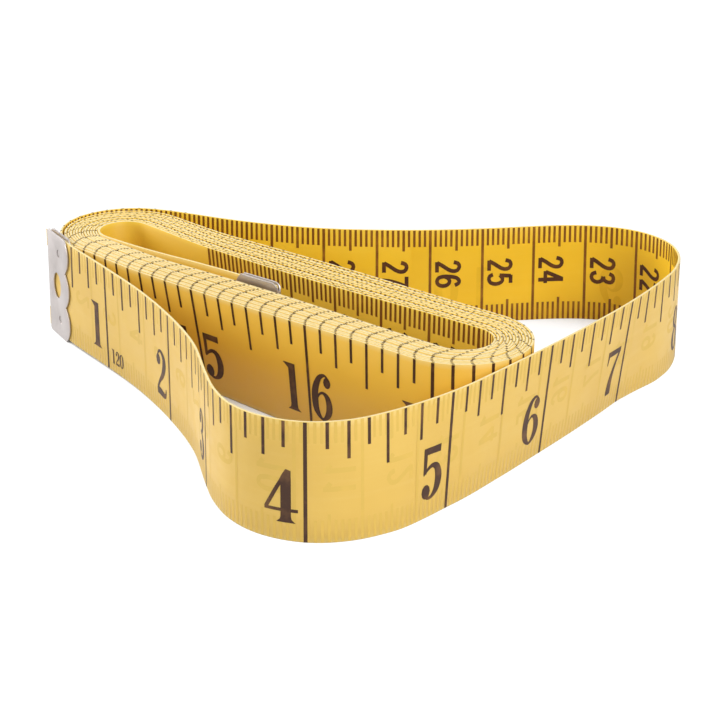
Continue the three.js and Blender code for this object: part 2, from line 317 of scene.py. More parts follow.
def add_noise(nodes, links, coordinates, scale, detail, stretch=(1, 1, 1)):
    mapping = nodes.new("ShaderNodeMapping")
    mapping.inputs["Scale"].default_value = stretch
    links.new(coordinates, mapping.inputs["Vector"])
    noise = nodes.new("ShaderNodeTexNoise")
    noise.inputs["Scale"].default_value = scale
    noise.inputs["Detail"].default_value = detail
    links.new(mapping.outputs["Vector"], noise.inputs["Vector"])
    return noise.outputs["Fac"]


def add_range(nodes, links, value, span, gives=(0, 1)):
    ranged = nodes.new("ShaderNodeMapRange")
    for socket, number in zip(ranged.inputs[1:5], (*span, *gives)):
        socket.default_value = number
    links.new(value, ranged.inputs["Value"])
    return ranged.outputs["Result"]


def add_blend(nodes, links, share, first, second):
    blend = nodes.new("ShaderNodeMix")
    blend.data_type = "RGBA"
    links.new(share, blend.inputs["Factor"])
    for socket, colour in ((blend.inputs[6], first), (blend.inputs[7], second)):
        if isinstance(colour, tuple):
            socket.default_value = (*colour, 1)
        else:
            links.new(colour, socket)
    return blend.outputs[2]


def vinyl_material(name, base, cloud, scuff, wound, shine, coat):
    material, nodes, links = new_material(name)
    shader = nodes["Principled BSDF"]
    shader.inputs["Specular IOR Level"].default_value = shine
    shader.inputs["Coat Weight"].default_value = coat
    shader.inputs["Coat Roughness"].default_value = VINYL_COAT_ROUGHNESS
    strip_map = nodes.new("ShaderNodeUVMap")
    strip_map.uv_map = "strip"
    place = strip_map.outputs["UV"]
    clouding = add_noise(nodes, links, place, scale=1.3, detail=4, stretch=(1, 0.8, 1))
    clouded = add_range(nodes, links, clouding, span=(0.38, 0.68))
    colour = add_blend(nodes, links, clouded, base, cloud)
    streaks = add_noise(nodes, links, place, scale=3, detail=3, stretch=(0.25, 5, 1))
    scuffed = add_range(nodes, links, streaks, span=(0.5, 0.8), gives=(0, 0.15))
    colour = add_blend(nodes, links, scuffed, colour, scuff)
    across = nodes.new("ShaderNodeSeparateXYZ")
    links.new(place, across.inputs["Vector"])
    # Along the strip the colour blends into the painted coil tone: bounce light outside, shade inside.
    painted_coil_share = add_range(nodes, links, across.outputs["X"], span=(COIL_PAINT_FROM / WIDTH, COIL_PAINT_FULL / WIDTH),
                     gives=(0, COIL_PAINT_SHARE))
    colour = add_blend(nodes, links, painted_coil_share, colour, wound)
    border = nodes.new("ShaderNodeMath")
    border.operation = "PINGPONG"
    border.inputs[1].default_value = 0.5
    links.new(across.outputs["Y"], border.inputs[0])
    worn = add_range(nodes, links, border.outputs["Value"], span=(0, WORN_BORDER),
                     gives=(WORN_SHARE, 0))
    colour = add_blend(nodes, links, worn, colour, scuff)
    links.new(colour, shader.inputs["Base Color"])
    rubbing = add_noise(nodes, links, place, scale=6, detail=5)
    links.new(add_range(nodes, links, rubbing, span=(0.3, 0.7), gives=(0.36, 0.50)),
              shader.inputs["Roughness"])
    threads = []
    for direction in "XY":
        wave = nodes.new("ShaderNodeTexWave")
        wave.bands_direction = direction
        wave.inputs["Scale"].default_value = THREAD_SCALE
        wave.inputs["Distortion"].default_value = THREAD_WANDER
        links.new(place, wave.inputs["Vector"])
        threads.append(wave.outputs["Fac"])
    weave = nodes.new("ShaderNodeMath")
    weave.operation = "MULTIPLY"
    for socket, thread in zip(weave.inputs, threads):
        links.new(thread, socket)
    bump = nodes.new("ShaderNodeBump")
    bump.inputs["Strength"].default_value = WEAVE_STRENGTH
    bump.inputs["Distance"].default_value = WEAVE_DEPTH
    links.new(weave.outputs["Value"], bump.inputs["Height"])
    links.new(bump.outputs["Normal"], shader.inputs["Normal"])
    return material


outer_vinyl = vinyl_material("yellow_vinyl", OUTER_VINYL, OUTER_CLOUD, OUTER_SCUFF, OUTER_PAINTED_BOUNCE,
                             OUTER_SHINE, OUTER_COAT)
inner_vinyl = vinyl_material("golden_vinyl", INNER_VINYL, INNER_CLOUD, INNER_SCUFF, INNER_PAINTED_SHADE,
                             INNER_SHINE, INNER_COAT)
slit_edge, edge_nodes, edge_links = new_material("slit_cloth_edge")
edge_map = edge_nodes.new("ShaderNodeUVMap")
edge_map.uv_map = "strip"
fibres = add_noise(edge_nodes, edge_links, edge_map.outputs["UV"], scale=20, detail=3,
                   stretch=(1, 4, 1))
fibrous = add_range(edge_nodes, edge_links, fibres, span=(0.4, 0.7))
edge_colour = add_blend(edge_nodes, edge_links, fibrous, SLIT_CLOTH, SLIT_FIBRE)
edge_across = edge_nodes.new("ShaderNodeSeparateXYZ")
edge_links.new(edge_map.outputs["UV"], edge_across.inputs["Vector"])
from_core = edge_nodes.new("ShaderNodeMath")
from_core.operation = "PINGPONG"
from_core.inputs[1].default_value = 0.25
edge_links.new(edge_across.outputs["Y"], from_core.inputs[0])
coating = add_range(edge_nodes, edge_links, from_core.outputs["Value"], span=(RIM_FROM, RIM_TO))
edge_colour = add_blend(edge_nodes, edge_links, coating, edge_colour, SLIT_RIM)
edge_links.new(edge_colour, edge_nodes["Principled BSDF"].inputs["Base Color"])
edge_nodes["Principled BSDF"].inputs["Roughness"].default_value = SLIT_ROUGHNESS


def flat_strip(name, first, last, rows):
    bm = bmesh.new()
    bmesh.ops.create_cube(bm, size=1, matrix=(
        Matrix.Translation(((first + last) / 2, 0, WIDTH / 2))
        @ Matrix.Diagonal((last - first, THICKNESS, WIDTH, 1))))

    def long_edges():
        return [edge for edge in bm.edges if edge.calc_length() > 0.9 * (last - first)]

    bmesh.ops.bevel(bm, geom=long_edges(), offset=EDGE_ROUNDING, offset_type="OFFSET", segments=1,
                    profile=0.5, affect="EDGES", material=-1)
    bmesh.ops.subdivide_edges(bm, edges=long_edges(), cuts=round((last - first) / FLAT_STEP),
                              use_grid_fill=True)
    for row in range(1, rows):
        bmesh.ops.bisect_plane(bm, geom=bm.verts[:] + bm.edges[:] + bm.faces[:],
                               plane_co=(0, 0, WIDTH * row / rows), plane_no=(0, 0, 1))
    for face in bm.faces:
        face.material_index = (SLIT_FACE if abs(face.normal.y) < 0.5
                               else INNER_FACE if face.normal.y > 0 else OUTER_FACE)
    lay_out_maps(bm, first, last)
    return new_piece(name, bm, (outer_vinyl, inner_vinyl, slit_edge))


LENGTHS = {
    "near_strip": (0, FRONT_CUT, "end_run", "front_run", FRONT_BEND_AT),
    "far_strip": (FRONT_CUT, BACK_CUT, "front_run", "back_run", FAR_BEND_AT),
    "coil_strip": (BACK_CUT, LENGTH + SLACK, "back_run", "coil", None),
}
ROWS = {"near_strip": 4, "far_strip": 4, "coil_strip": 2}


def join_bodies(piece, first_body, second_body, bend_at):
    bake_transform(piece)


strips = {name: flat_strip(name, first, last, ROWS[name])
          for name, (first, last, *_) in LENGTHS.items()}
REPLACED = {"near_strip": ("tape_end_run",), "far_strip": ("tape_front_run",),
            "coil_strip": ("tape_back_run", "tape_coil")}
for name, strip in strips.items():
    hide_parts(*REPLACED[name])
    join_bodies(strip, *LENGTHS[name][2:])

# The scales are printed in brown ink before the strip is slit and wound: inches with bold serif
# figures on the outer face, and centimetres with plain figures on their side on the inner one.
# The lines run out to the slit edges, and on the free loop each scale shows faintly through.
INK_HEIGHT = 0.03 * MM
SHADE_HEIGHT = 0.012 * MM
LONGEST_CUT = 0.6
DOT_TIP, DOT_ROWS = 0.2, (-0.72, -0.4, 0, 0.4, 0.72)
INCH = 25.4 * MM
CENTIMETRE = 10 * MM
LAST_INCH = 120
LAST_CENTIMETRE = 304
(INCH_SIDE, CENTIMETRE_SIDE, MILLIMETRE, EIGHTH_STAIN, MILLIMETRE_STAIN,
 OUTER_SHADE, INNER_SHADE) = range(7)
INCH_INK = (0.062, 0.028, 0.016)
INCH_INK_WORN = (0.20, 0.10, 0.04)
CENTIMETRE_INK = (0.070, 0.024, 0.008)
CENTIMETRE_INK_WORN = (0.17, 0.065, 0.012)
MILLIMETRE_INK = (0.21, 0.08, 0.011)
MILLIMETRE_INK_WORN = (0.36, 0.16, 0.016)
EIGHTH_STAIN_COLOUR = (0.070, 0.034, 0.013)
EIGHTH_STAIN_FADED = (0.25, 0.16, 0.06)
MILLIMETRE_STAIN_COLOUR = (0.56, 0.43, 0.18)
MILLIMETRE_STAIN_FADED = (0.68, 0.54, 0.24)
OUTER_SHADE_COLOUR = (0.685, 0.456, 0.099)
INNER_SHADE_COLOUR = (0.78, 0.475, 0.023)
FACES_OUT = (Matrix.Translation((0, -THICKNESS / 2 - INK_HEIGHT, 0))
             @ Matrix.Rotation(math.pi / 2, 4, "X"))
FACES_IN = Matrix.Translation((0, THICKNESS / 2 + INK_HEIGHT, 0)) @ Matrix((
    (0, -1, 0, 0), (0, 0, 1, 0), (-1, 0, 0, 0), (0, 0, 0, 1)))


def cut_short(points):
    cuts = []
    for start, end in zip(points, points[1:]):
        count = math.ceil(math.dist(start[:2], end[:2]) / LONGEST_CUT)
        cuts.append(np.linspace(start, end, count, endpoint=False))
    return np.concatenate((*cuts, points[-1:]))


def pen_stroke(bm, points, steps):
    knots = np.array(points, float)
    if steps > 1:
        guide = np.concatenate(([2 * knots[0] - knots[1]], knots, [2 * knots[-1] - knots[-2]]))
        if np.allclose(knots[0], knots[-1]):
            guide[0], guide[-1] = knots[-2], knots[1]
        share = np.linspace(0, 1, steps, endpoint=False)[:, None]
        spans = [0.5 * (2 * b + (c - a) * share + (2 * a - 5 * b + 4 * c - d) * share ** 2
                        + (3 * b - a - 3 * c + d) * share ** 3)
                 for a, b, c, d in zip(guide, guide[1:], guide[2:], guide[3:])]
        path = np.concatenate((*spans, knots[-1:]))
    else:
        path = knots
    tangent = np.gradient(path[:, :2], axis=0)
    if steps > 1 and np.allclose(knots[0], knots[-1]):
        tangent[0] = tangent[-1] = path[1, :2] - path[-2, :2]
    tangent /= np.linalg.norm(tangent, axis=1)[:, None]
    count = len(path) - 1
    grid = bmesh.ops.create_grid(bm, x_segments=count, y_segments=2, size=0.5)["verts"]
    for vert in grid:
        i = round((vert.co.x + 0.5) * count)
        reach = vert.co.y * path[i, 2]
        vert.co = (path[i, 0] - reach * tangent[i, 1], path[i, 1] + reach * tangent[i, 0], 0)


def pen_dot(bm, x, y, half_width, half_height):
    rows = [(x, y - half_height, DOT_TIP * half_width)]
    for turn in DOT_ROWS:
        rows.append((x, y + half_height * math.sin(turn * math.pi / 2),
                     2 * half_width * math.cos(turn * math.pi / 2)))
    rows.append((x, y + half_height, DOT_TIP * half_width))
    pen_stroke(bm, rows, 1)


def figure_type(name, strokes, dots, side, steps, size):
    bm = bmesh.new()
    for stroke in strokes:
        straight = stroke[0] == "straight"
        pen_stroke(bm, cut_short(stroke[1:]) if straight else stroke, 1 if straight else steps)
    for dot in dots:
        pen_dot(bm, *dot)
    bmesh.ops.scale(bm, vec=(size, size, 1), verts=bm.verts)
    for face in bm.faces:
        face.material_index = side
    mesh = bpy.data.meshes.new(name)
    bm.to_mesh(mesh)
    bm.free()
    return mesh


def half_turned(strokes, dots, width, height):
    def turned(points):
        return [point if point == "straight" else (width - point[0], height - point[1], *point[2:])
                for point in points]
    return [turned(stroke) for stroke in strokes], turned(dots)


# Inch figures: thick stems, hairlines, ball ends and bracketed feet, drawn in millimetres
SERIF_HEIGHT, SERIF_WIDTH = 8.45, 4.75
SIX_SERIF = ([[(3.95, 7.55, 0.4), (3.1, 8.2, 0.5), (1.9, 7.5, 0.95), (1.0, 5.6, 1.35), (0.78, 3.6, 1.5),
               (1.05, 1.6, 1.3), (2.35, 0.24, 0.5), (3.6, 1.3, 1.2), (3.97, 2.8, 1.4), (3.6, 4.3, 1.15),
               (2.65, 5.0, 0.55), (1.8, 4.6, 0.4), (1.25, 3.7, 0.35)]], [(3.6, 6.95, 0.8, 0.95)])
SERIF = {
    "0": ([[(2.35, 0.25, 0.5), (3.55, 1.5, 1.2), (3.9, 4.2, 1.5), (3.55, 6.9, 1.2), (2.35, 8.2, 0.5),
            (1.15, 6.9, 1.2), (0.8, 4.2, 1.5), (1.15, 1.5, 1.2), (2.35, 0.25, 0.5)]], []),
    "1": ([["straight", (2.55, 8.45, 1.5), (2.55, 1.1, 1.5), (2.55, 0.55, 1.7), (2.55, 0.28, 2.3),
            (2.55, 0.0, 3.0)],
           ["straight", (0.75, 8.38, 0.14), (1.3, 8.22, 0.5), (2.0, 7.95, 1.0)]], []),
    "2": ([[(0.95, 7.0, 0.5), (1.5, 8.0, 0.5), (2.5, 8.2, 0.7), (3.65, 7.3, 1.3), (3.75, 5.9, 1.45),
            (3.0, 4.2, 1.1), (1.6, 2.6, 0.65), (0.75, 1.2, 0.6)],
           [(0.5, 0.65, 1.1), (1.6, 0.78, 1.35), (2.9, 0.6, 1.2), (3.9, 0.6, 0.9), (4.3, 1.2, 0.5),
            (4.4, 2.0, 0.25)]], [(1.25, 6.5, 0.85, 0.98)]),
    "3": ([[(0.95, 7.1, 0.5), (1.6, 8.05, 0.5), (2.5, 8.2, 0.65), (3.5, 7.3, 1.25), (3.45, 5.9, 1.3),
            (2.7, 4.85, 0.7), (1.7, 4.55, 0.4)],
           [(1.7, 4.55, 0.4), (2.9, 4.4, 0.75), (3.85, 3.0, 1.5), (3.65, 1.3, 1.3), (2.6, 0.3, 0.6),
            (1.5, 0.42, 0.5), (0.9, 1.2, 0.5)]], [(1.2, 6.65, 0.8, 0.9), (1.15, 1.75, 0.85, 0.98)]),
    "4": ([["straight", (3.715, 8.45, 0.83), (3.35, 7.15, 1.57), (3.35, 1.0, 1.57), (3.35, 0.55, 1.75),
            (3.35, 0.28, 2.3), (3.35, 0.0, 2.9)],
           ["straight", (3.5, 8.3, 0.55), (1.8, 5.15, 0.6), (0.25, 2.1, 0.6)],
           ["straight", (0.02, 2.0, 0.52), (2.6, 2.0, 0.52), (5.15, 2.0, 0.52)]], []),
    "5": ([["straight", (0.62, 7.9, 1.1), (2.4, 7.88, 1.14), (4.25, 7.84, 1.22)],
           ["straight", (1.0, 8.3, 0.78), (0.95, 6.4, 0.74), (0.85, 4.3, 0.66)],
           [(0.6, 4.15, 0.2), (1.5, 5.0, 0.55), (2.5, 5.4, 0.75), (3.5, 4.9, 1.2), (3.95, 3.2, 1.5),
            (3.55, 1.4, 1.3), (2.5, 0.35, 0.65), (1.5, 0.3, 0.5), (0.75, 0.9, 0.4)]],
          [(1.15, 1.4, 0.95, 1.15)]),
    "6": SIX_SERIF,
    "7": ([["straight", (0.5, 7.9, 1.05), (2.5, 7.88, 1.05), (4.6, 7.92, 0.95)],
           ["straight", (0.62, 8.42, 0.6), (0.6, 7.4, 0.55), (0.42, 5.9, 0.2)],
           [(4.35, 7.8, 0.6), (3.1, 5.4, 0.75), (2.25, 3.0, 1.2), (2.0, 1.0, 1.6),
            (2.0, 0.0, 1.55)]], []),
    "8": ([[(2.4, 4.6, 0.5), (3.35, 5.2, 1.0), (3.65, 6.4, 1.2), (3.2, 7.7, 0.9), (2.4, 8.2, 0.5),
            (1.6, 7.7, 0.9), (1.15, 6.4, 1.2), (1.45, 5.2, 1.0), (2.4, 4.6, 0.5)],
           [(2.4, 4.6, 0.5), (3.55, 3.7, 1.1), (3.95, 2.2, 1.45), (3.45, 0.8, 1.0), (2.4, 0.25, 0.5),
            (1.35, 0.8, 1.0), (0.85, 2.2, 1.45), (1.25, 3.7, 1.1), (2.4, 4.6, 0.5)]], []),
    "9": half_turned(*SIX_SERIF, SERIF_WIDTH, SERIF_HEIGHT),
}

# Centimetre figures: one even pen width, drawn in millimetres
PLAIN_HEIGHT, PLAIN_WIDTH = 4.9, 2.4
PEN = 0.72
SIX_PLAIN = [[(1.98, 3.75), (1.65, 4.4), (1.2, 4.58), (0.6, 4.05), (0.33, 2.6), (0.33, 1.5),
              (0.58, 0.65), (1.2, 0.32), (1.83, 0.65), (2.07, 1.5), (1.83, 2.4), (1.2, 2.75),
              (0.62, 2.4), (0.36, 1.8)]]
PLAIN = {
    "0": [[(1.2, 0.32), (1.85, 0.75), (2.08, 2.45), (1.85, 4.15), (1.2, 4.58), (0.55, 4.15),
           (0.32, 2.45), (0.55, 0.75), (1.2, 0.32)]],
    "1": [["straight", (0.5, 3.75), (1.4, 4.55)], ["straight", (1.4, 4.88), (1.4, 0.02)]],
    "2": [[(0.35, 3.5), (0.6, 4.3), (1.2, 4.58), (1.85, 4.2), (2.0, 3.4), (1.7, 2.5), (1.0, 1.4),
           (0.42, 0.32)],
          ["straight", (0.28, 0.32), (2.18, 0.32)]],
    "3": [[(0.35, 3.75), (0.65, 4.4), (1.2, 4.58), (1.8, 4.3), (1.95, 3.6), (1.65, 2.85), (0.95, 2.6)],
          [(0.95, 2.6), (1.75, 2.3), (2.07, 1.4), (1.75, 0.6), (1.15, 0.32), (0.55, 0.55), (0.3, 1.25)]],
    "4": [["straight", (1.62, 4.75), (0.25, 1.45)], ["straight", (0.1, 1.4), (2.35, 1.4)],
          ["straight", (1.68, 4.88), (1.68, 0.02)]],
    "5": [["straight", (0.5, 4.58), (2.0, 4.58)], ["straight", (0.66, 4.6), (0.48, 2.4)],
          [(0.42, 2.45), (1.1, 2.98), (1.75, 2.75), (2.07, 1.7), (1.8, 0.7), (1.15, 0.32), (0.55, 0.5),
           (0.3, 1.1)]],
    "6": SIX_PLAIN,
    "7": [["straight", (0.25, 4.58), (2.2, 4.58)], [(2.05, 4.4), (1.5, 3.0), (1.08, 1.4), (0.95, 0.02)]],
    "8": [[(1.2, 2.6), (1.8, 2.95), (1.95, 3.6), (1.75, 4.3), (1.2, 4.58), (0.65, 4.3), (0.45, 3.6),
           (0.6, 2.95), (1.2, 2.6)],
          [(1.2, 2.6), (1.85, 2.2), (2.08, 1.45), (1.85, 0.7), (1.2, 0.32), (0.55, 0.7), (0.32, 1.45),
           (0.55, 2.2), (1.2, 2.6)]],
    "9": half_turned(SIX_PLAIN, [], PLAIN_WIDTH, PLAIN_HEIGHT)[0],
}
SERIF_CURVE_STEPS, PLAIN_CURVE_STEPS = 3, 2
serif_type = {digit: figure_type(f"serif_{digit}", *drawing, INCH_SIDE, SERIF_CURVE_STEPS, MM)
              for digit, drawing in SERIF.items()}
plain_type = {}
for digit, strokes in PLAIN.items():
    inked = [[point if point == "straight" else (*point, PEN) for point in stroke] for stroke in strokes]
    plain_type[digit] = figure_type(f"plain_{digit}", inked, [], CENTIMETRE_SIDE,
                                    PLAIN_CURVE_STEPS, MM)


def bar(bm, matrix, along, low, high, thick, side):
    place = Matrix.Translation((along, 0, (low + high) / 2)) @ matrix
    size = (thick, high - low) if side == INCH_SIDE else (high - low, thick)
    made = bmesh.ops.create_grid(bm, x_segments=1, y_segments=1, size=0.5,
                                 matrix=place @ Matrix.Diagonal((*size, 1, 1)))
    made["verts"][0].link_faces[0].material_index = side


def edge_dot(bm, along, thick, reach, stain, top):
    middle = (reach - THICKNESS) / 2 + EDGE_ROUNDING / 2
    middle = middle if stain == EIGHTH_STAIN else -middle
    place = Matrix.Translation((along, middle, WIDTH + SHADE_HEIGHT if top else -SHADE_HEIGHT))
    if not top:
        place = place @ Matrix.Rotation(math.pi, 4, "X")
    made = bmesh.ops.create_grid(bm, x_segments=1, y_segments=1, size=0.5,
                                 matrix=place @ Matrix.Diagonal((thick, reach, 1, 1)))
    made["verts"][0].link_faces[0].material_index = stain


def rule_type(name, draw, stained):
    bm = bmesh.new()
    draw(bm, stained)
    mesh = bpy.data.meshes.new(name)
    bm.to_mesh(mesh)
    bm.free()
    return mesh


RULE_MARGIN = 0.07 * MM
INCH_LINE, EIGHTH_LINE = 0.55 * MM, 0.5 * MM
HALF_SHARE, QUARTER_SHARE, EIGHTH_SHARE = 0.41, 0.31, 0.22
CENTIMETRE_LINE, FIFTH_LINE, MILLIMETRE_LINE = 0.52 * MM, 0.48 * MM, 0.44 * MM
FIFTH_SHARES, MILLIMETRE_SHARES = (0.22, 0.24), (0.175, 0.19)
EIGHTH_DOT, MILLIMETRE_DOT = (0.42 * MM, 0.28 * MM), (0.24 * MM, 0.10 * MM)


def draw_inch(bm, stained):
    for eighth in range(1, 9):
        along = (eighth - 8) * INCH / 8
        share = {8: 1, 4: HALF_SHARE, 2: QUARTER_SHARE, 6: QUARTER_SHARE}.get(eighth, EIGHTH_SHARE)
        thick = INCH_LINE if eighth == 8 else EIGHTH_LINE
        foot = WIDTH * (1 - share) + (RULE_MARGIN if eighth == 8 else 0)
        bar(bm, FACES_OUT, along, foot, WIDTH - RULE_MARGIN, thick, INCH_SIDE)
        if stained:
            edge_dot(bm, along, *EIGHTH_DOT, EIGHTH_STAIN, True)


def draw_centimetre(bm, stained):
    for tenth in range(1, 11):
        along = (tenth - 10) * MM
        thick = {10: CENTIMETRE_LINE, 5: FIFTH_LINE}.get(tenth, MILLIMETRE_LINE)
        top, foot = FIFTH_SHARES if tenth == 5 else MILLIMETRE_SHARES
        if tenth == 10:
            bar(bm, FACES_IN, along, RULE_MARGIN, WIDTH - RULE_MARGIN, thick, MILLIMETRE)
        else:
            bar(bm, FACES_IN, along, WIDTH * (1 - top), WIDTH - RULE_MARGIN, thick, MILLIMETRE)
            bar(bm, FACES_IN, along, RULE_MARGIN, WIDTH * foot, thick, MILLIMETRE)
        if stained:
            for is_top in (True, False):
                edge_dot(bm, along, *MILLIMETRE_DOT, MILLIMETRE_STAIN, is_top)


# On the wound part the lines leave stains on the slit edges. On the free loop the edges are clean.
WOUND_FROM = 325 * MM
inch_rules = {stained: rule_type("inch_rule", draw_inch, stained)
              for stained in (True, False)}
centimetre_rules = {stained: rule_type("centimetre_rule", draw_centimetre, stained)
                    for stained in (True, False)}
cell_mesh = bpy.data.meshes.new("stamped_cell")
# A shade is a mark of one face as it shows through on the other.
THROUGH = Matrix.Diagonal((1, -(THICKNESS / 2 + SHADE_HEIGHT) / (THICKNESS / 2 + INK_HEIGHT), 1, 1))


def stamp(bm, type_mesh, matrix, shade=None):
    cell = bmesh.new()
    cell.from_mesh(type_mesh)
    if shade is not None:
        matrix = THROUGH @ matrix
        bmesh.ops.reverse_faces(cell, faces=cell.faces)
        for face in cell.faces:
            face.material_index = shade
    cell.transform(matrix)
    cell.to_mesh(cell_mesh)
    cell.free()
    bm.from_mesh(cell_mesh)


SERIF_FOOT = 2.9 * MM
INCH_GAP_BEFORE, INCH_GAP_AFTER = 1.0 * MM, 0.5 * MM
SERIF_CELL = 5.2 * MM
PLAIN_GAP = 1.0 * MM
PLAIN_CELL = 2.9 * MM
PLAIN_STRETCH = 1.1
PLAIN_MIDDLE = 0.535 * WIDTH


def inch_figures(number, line):
    text = str(number)
    before = 1 if len(text) < 3 else 2
    for i, digit in enumerate(text):
        if i < before:
            left = line - INCH_GAP_BEFORE - SERIF_CELL * (before - i)
        else:
            left = line + INCH_GAP_AFTER + SERIF_CELL * (i - before)
        yield serif_type[digit], Matrix.Translation((left, 0, SERIF_FOOT)) @ FACES_OUT


def centimetre_figures(number, line):
    text = str(number)
    spare = PLAIN_CELL - PLAIN_STRETCH * PLAIN_WIDTH * MM
    top = PLAIN_MIDDLE + PLAIN_CELL * len(text) / 2 - spare / 2
    for i, digit in enumerate(text):
        place = Matrix.Translation((line - PLAIN_GAP, 0, top - i * PLAIN_CELL))
        yield plain_type[digit], place @ FACES_IN @ Matrix.Diagonal((PLAIN_STRETCH, 1, 1, 1))


INK_SHINE = 0.25


def ink_material(name, ink, worn):
    material, nodes, links = new_material(name)
    shader = nodes["Principled BSDF"]
    strip_map = nodes.new("ShaderNodeUVMap")
    strip_map.uv_map = "strip"
    rubbing = add_noise(nodes, links, strip_map.outputs["UV"], scale=5, detail=6)
    rubbed = add_range(nodes, links, rubbing, span=(0.48, 0.75))
    links.new(add_blend(nodes, links, rubbed, ink, worn), shader.inputs["Base Color"])
    links.new(add_range(nodes, links, rubbing, span=(0.3, 0.7), gives=(0.4, 0.55)),
              shader.inputs["Roughness"])
    shader.inputs["Specular IOR Level"].default_value = INK_SHINE
    return material


inks = (ink_material("inch_ink", INCH_INK, INCH_INK_WORN),
        ink_material("centimetre_ink", CENTIMETRE_INK, CENTIMETRE_INK_WORN),
        ink_material("millimetre_ink", MILLIMETRE_INK, MILLIMETRE_INK_WORN),
        ink_material("eighth_stain", EIGHTH_STAIN_COLOUR, EIGHTH_STAIN_FADED),
        ink_material("millimetre_stain", MILLIMETRE_STAIN_COLOUR, MILLIMETRE_STAIN_FADED),
        ink_material("centimetre_shade", OUTER_SHADE_COLOUR, OUTER_VINYL),
        ink_material("inch_shade", INNER_SHADE_COLOUR, INNER_VINYL))
LENGTH_MARK = "120"
LENGTH_MARK_SIZE = 0.32
LENGTH_MARK_FOOT = 1.6 * MM
LENGTH_MARK_GAP, LENGTH_MARK_CELL = 1.2 * MM, 1.5 * MM
for strip_name, (first, last, *bodies) in LENGTHS.items():
    bm = bmesh.new()
    for number in range(1, LAST_INCH + 1):
        line = SCALE_START + number * INCH
        if first < line <= last:
            wound = line > WOUND_FROM
            stamp(bm, inch_rules[wound], Matrix.Translation((line, 0, 0)))
            for type_mesh, place in inch_figures(number, line):
                stamp(bm, type_mesh, place)
                if not wound:
                    stamp(bm, type_mesh, place, INNER_SHADE)
    for number in range(1, LAST_CENTIMETRE + 1):
        line = SCALE_START + number * CENTIMETRE
        if first < line <= last:
            wound = line > WOUND_FROM
            place = Matrix.Translation((line, 0, 0))
            stamp(bm, centimetre_rules[wound], place)
            if not wound:
                stamp(bm, centimetre_rules[wound], place, OUTER_SHADE)
            for type_mesh, place in centimetre_figures(number, line):
                stamp(bm, type_mesh, place)
                if not wound:
                    stamp(bm, type_mesh, place, OUTER_SHADE)
    if strip_name == "near_strip":
        for i, digit in enumerate(LENGTH_MARK):
            left = SCALE_START + INCH + LENGTH_MARK_GAP + LENGTH_MARK_CELL * i
            place = Matrix.Translation((left, 0, LENGTH_MARK_FOOT)) @ FACES_OUT
            stamp(bm, serif_type[digit], place @ Matrix.Scale(LENGTH_MARK_SIZE, 4))
    lay_out_maps(bm, first, last, (OUTER_SHADE, INNER_SHADE))
    print_piece = new_piece(strip_name.replace("strip", "print"), bm, inks)
    join_bodies(print_piece, *bodies)

# Each end of the strip is held in a clip of thin plated steel. It is stamped with a lobed edge, an oval
# hole and two pressed dimples on each leaf, folded in two over the end and squeezed shut.
CLIP_HEIGHT = WIDTH + 2 * CLIP_OVERHANG
CLIP_SHEET = 0.25 * MM
CLIP_FOLD = 0.575 * MM
CLIP_CORNER = 1.5 * MM
LOBES, LOBE_DEPTH = 3, 1.65 * MM
HOLE_AT, HOLE_LENGTH, HOLE_HEIGHT = 4 * MM, 3.5 * MM, 4.9 * MM
DIMPLE_AT, DIMPLE_FROM_EDGE = 5.1 * MM, 3.5 * MM
DIMPLE_RADIUS, DIMPLE_DEPTH = 0.75 * MM, 0.12 * MM
DIMPLE_RING, DIMPLE_SINKS = 0.3 * DIMPLE_RADIUS, (0.35, 0.4, 0.25)
CORNER_POINTS, LOBE_POINTS, HOLE_POINTS, DIMPLE_POINTS, FOLD_STEPS = 6, 9, 40, 16, 12
TOUCHING, WELD = 1e-7, 1e-6
RIM_ROUNDING = 0.04 * MM
STEEL = (0.56, 0.515, 0.50)
STEEL_DULL = (0.49, 0.45, 0.435)
STEEL_METALLIC = 0.88


def corner_cut(x):
    run = max(0, CLIP_CORNER - CLIP_FOLD - x)
    return CLIP_CORNER - math.sqrt(max(0, CLIP_CORNER ** 2 - run ** 2))


